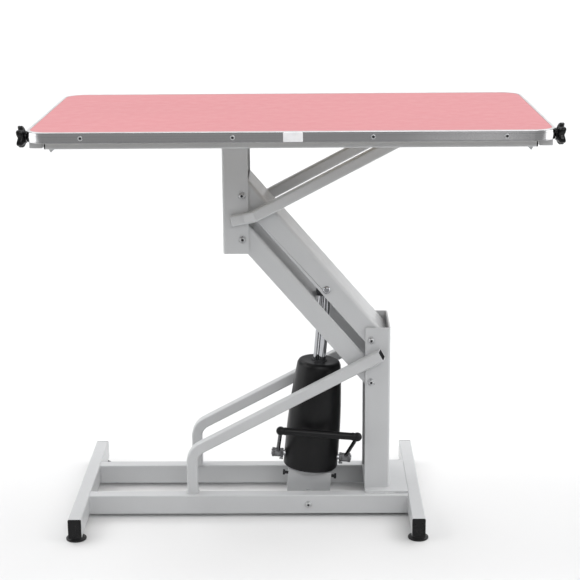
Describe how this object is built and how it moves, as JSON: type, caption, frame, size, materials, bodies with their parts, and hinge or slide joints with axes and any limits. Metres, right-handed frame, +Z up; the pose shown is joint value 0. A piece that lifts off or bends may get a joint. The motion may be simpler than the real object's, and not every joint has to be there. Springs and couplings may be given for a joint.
{
  "type": "grooming table",
  "caption": "Pet grooming table with a matted, metal-edged top on a parallel-arm lift raised by a foot-operated hydraulic pump, on a welded floor frame with levelling feet.",
  "frame": {"origin": "on the floor, under the middle of the table top", "axes": "+X along the table's long side, away from the head column; +Y away from the pedal; +Z up"},
  "size_m": [1.144, 0.6032, 0.9367],
  "materials": {
    "grey_paint": "light grey powder coat, satin",
    "black_paint": "black paint, satin",
    "black_plastic": "black moulded plastic, glossy",
    "black_rubber": "black rubber, matt",
    "zinc": "zinc-plated steel",
    "pump_steel": "machined steel",
    "chrome": "bright chrome",
    "white_nylon": "natural nylon",
    "board": "plywood with a sealed underside",
    "pink_mat": "pink rubber mat with a fine matt grain",
    "brushed_aluminium": "brushed anodised aluminium"
  },
  "bodies": {
    "base": {"foot_rail_left": "grey_paint", "foot_rail_right": "grey_paint", "base_rail_front": "grey_paint", "base_rail_rear": "grey_paint", "column_plate": "grey_paint", "base_column": "grey_paint", "stay_front": "grey_paint", "stay_rear": "grey_paint", "foot_rail_plugs": "black_plastic", "pump_pivot_bolt": "zinc", "pump_spacers": "zinc", "base_pivot_bolts": "zinc", "base_nuts": "zinc", "base_pivot_washers": "white_nylon"},
    "foot_front_left": {"foot_front_left": "black_rubber"},
    "foot_front_right": {"foot_front_right": "black_rubber"},
    "foot_rear_left": {"foot_rear_left": "black_rubber"},
    "foot_rear_right": {"foot_rear_right": "black_rubber"},
    "pump": {"pump_cradle": "grey_paint", "pump_base": "pump_steel", "cradle_bolts": "zinc", "reservoir_tube": "pump_steel", "cylinder_block": "pump_steel", "gland_plate": "pump_steel", "pump_cover": "black_paint", "plunger_spring": "zinc"},
    "plunger": {"pump_plunger": "chrome"},
    "rod": {"piston_rod": "chrome", "guide_rod": "chrome", "rod_head": "pump_steel"},
    "pedal": {"rocker_shaft": "chrome", "pedal_clamps": "chrome", "pedal_screws": "zinc", "pedal_arm_left": "black_paint", "pedal_arm_right": "black_paint", "pedal_bar": "black_paint", "pedal_ends": "black_paint"},
    "upper_arm": {"upper_arm": "grey_paint", "upper_arm_sleeves": "zinc", "rod_pin": "chrome", "rod_pin_nut": "zinc"},
    "lower_arm": {"lower_arm": "grey_paint", "lower_arm_sleeves": "zinc"},
    "head": {"head_column": "grey_paint", "head_plate": "grey_paint", "braces": "grey_paint", "head_pivot_bolts": "zinc", "head_nuts": "zinc", "head_pivot_washers": "white_nylon", "frame_rails": "grey_paint", "cross_rails": "grey_paint", "frame_plugs": "black_plastic", "hook_tabs": "grey_paint", "nut_blocks": "grey_paint", "table_board": "board", "table_mat": "pink_mat", "edge_trim": "brushed_aluminium", "trim_screws": "zinc"},
    "knob_left": {"clamp_knob_left": "black_plastic"},
    "knob_right": {"clamp_knob_right": "black_plastic"}
  },
  "joints": [
    {"name": "lift", "type": "hinge", "parent": "base", "child": "upper_arm", "pos_m": [0.179, 0, 0.417], "axis": [0, 1, 0], "range_deg": [-52, 0]},
    {"name": "lower_arm_pivot", "type": "hinge", "parent": "base", "child": "lower_arm", "pos_m": [0.179, 0, 0.317], "axis": [0, 1, 0], "range_deg": [-52.2, 0.2]},
    {"name": "head_pivot", "type": "hinge", "parent": "upper_arm", "child": "head", "pos_m": [-0.11118, 0, 0.75437], "axis": [0, 1, 0], "range_deg": [-0.2, 52.2]},
    {"name": "pump_tilt", "type": "hinge", "parent": "base", "child": "pump", "pos_m": [0.0335, 0, 0.031], "axis": [0, 1, 0], "range_deg": [-7.7, 0.2]},
    {"name": "rod_slide", "type": "slide", "parent": "pump", "child": "rod", "axis": [0.0865, 0, 0.9963], "range_m": [-0.124, 0.001]},
    {"name": "pedal", "type": "hinge", "parent": "pump", "child": "pedal", "pos_m": [0.04094, -0.012, 0.11668], "axis": [0.9963, 0, -0.0865], "range_deg": [0, 35], "stiffness_Nm_per_rad": 4, "springref_deg": -28.65},
    {"name": "plunger", "type": "slide", "parent": "pump", "child": "plunger", "axis": [0.0865, 0, 0.9963], "range_m": [-0.0122, 0.0002], "deforming": ["plunger_spring"]},
    {"name": "knob_left", "type": "hinge", "parent": "head", "child": "knob_left", "pos_m": [-0.551, -0.245, 0.91597], "axis": [1, 0, 0], "continuous": true},
    {"name": "knob_right", "type": "hinge", "parent": "head", "child": "knob_right", "pos_m": [0.551, -0.245, 0.91597], "axis": [1, 0, 0], "continuous": true},
    {"name": "foot_front_left", "type": "slide", "parent": "base", "child": "foot_front_left", "axis": [0, 0, -1], "range_m": [0, 0.012]},
    {"name": "foot_front_right", "type": "slide", "parent": "base", "child": "foot_front_right", "axis": [0, 0, -1], "range_m": [0, 0.012]},
    {"name": "foot_rear_left", "type": "slide", "parent": "base", "child": "foot_rear_left", "axis": [0, 0, -1], "range_m": [0, 0.012]},
    {"name": "foot_rear_right", "type": "slide", "parent": "base", "child": "foot_rear_right", "axis": [0, 0, -1], "range_m": [0, 0.012]}
  ],
  "couplings": [
    {"joint": "lower_arm_pivot", "follows": "lift", "ratio": 1},
    {"joint": "head_pivot", "follows": "lift", "ratio": -1},
    {"joint": "pump_tilt", "follows": "lift", "ratio": 0.146},
    {"joint": "rod_slide", "follows": "lift", "m_per_rad": 0.13608},
    {"joint": "plunger", "follows": "pedal", "m_per_rad": -0.0195}
  ]
}
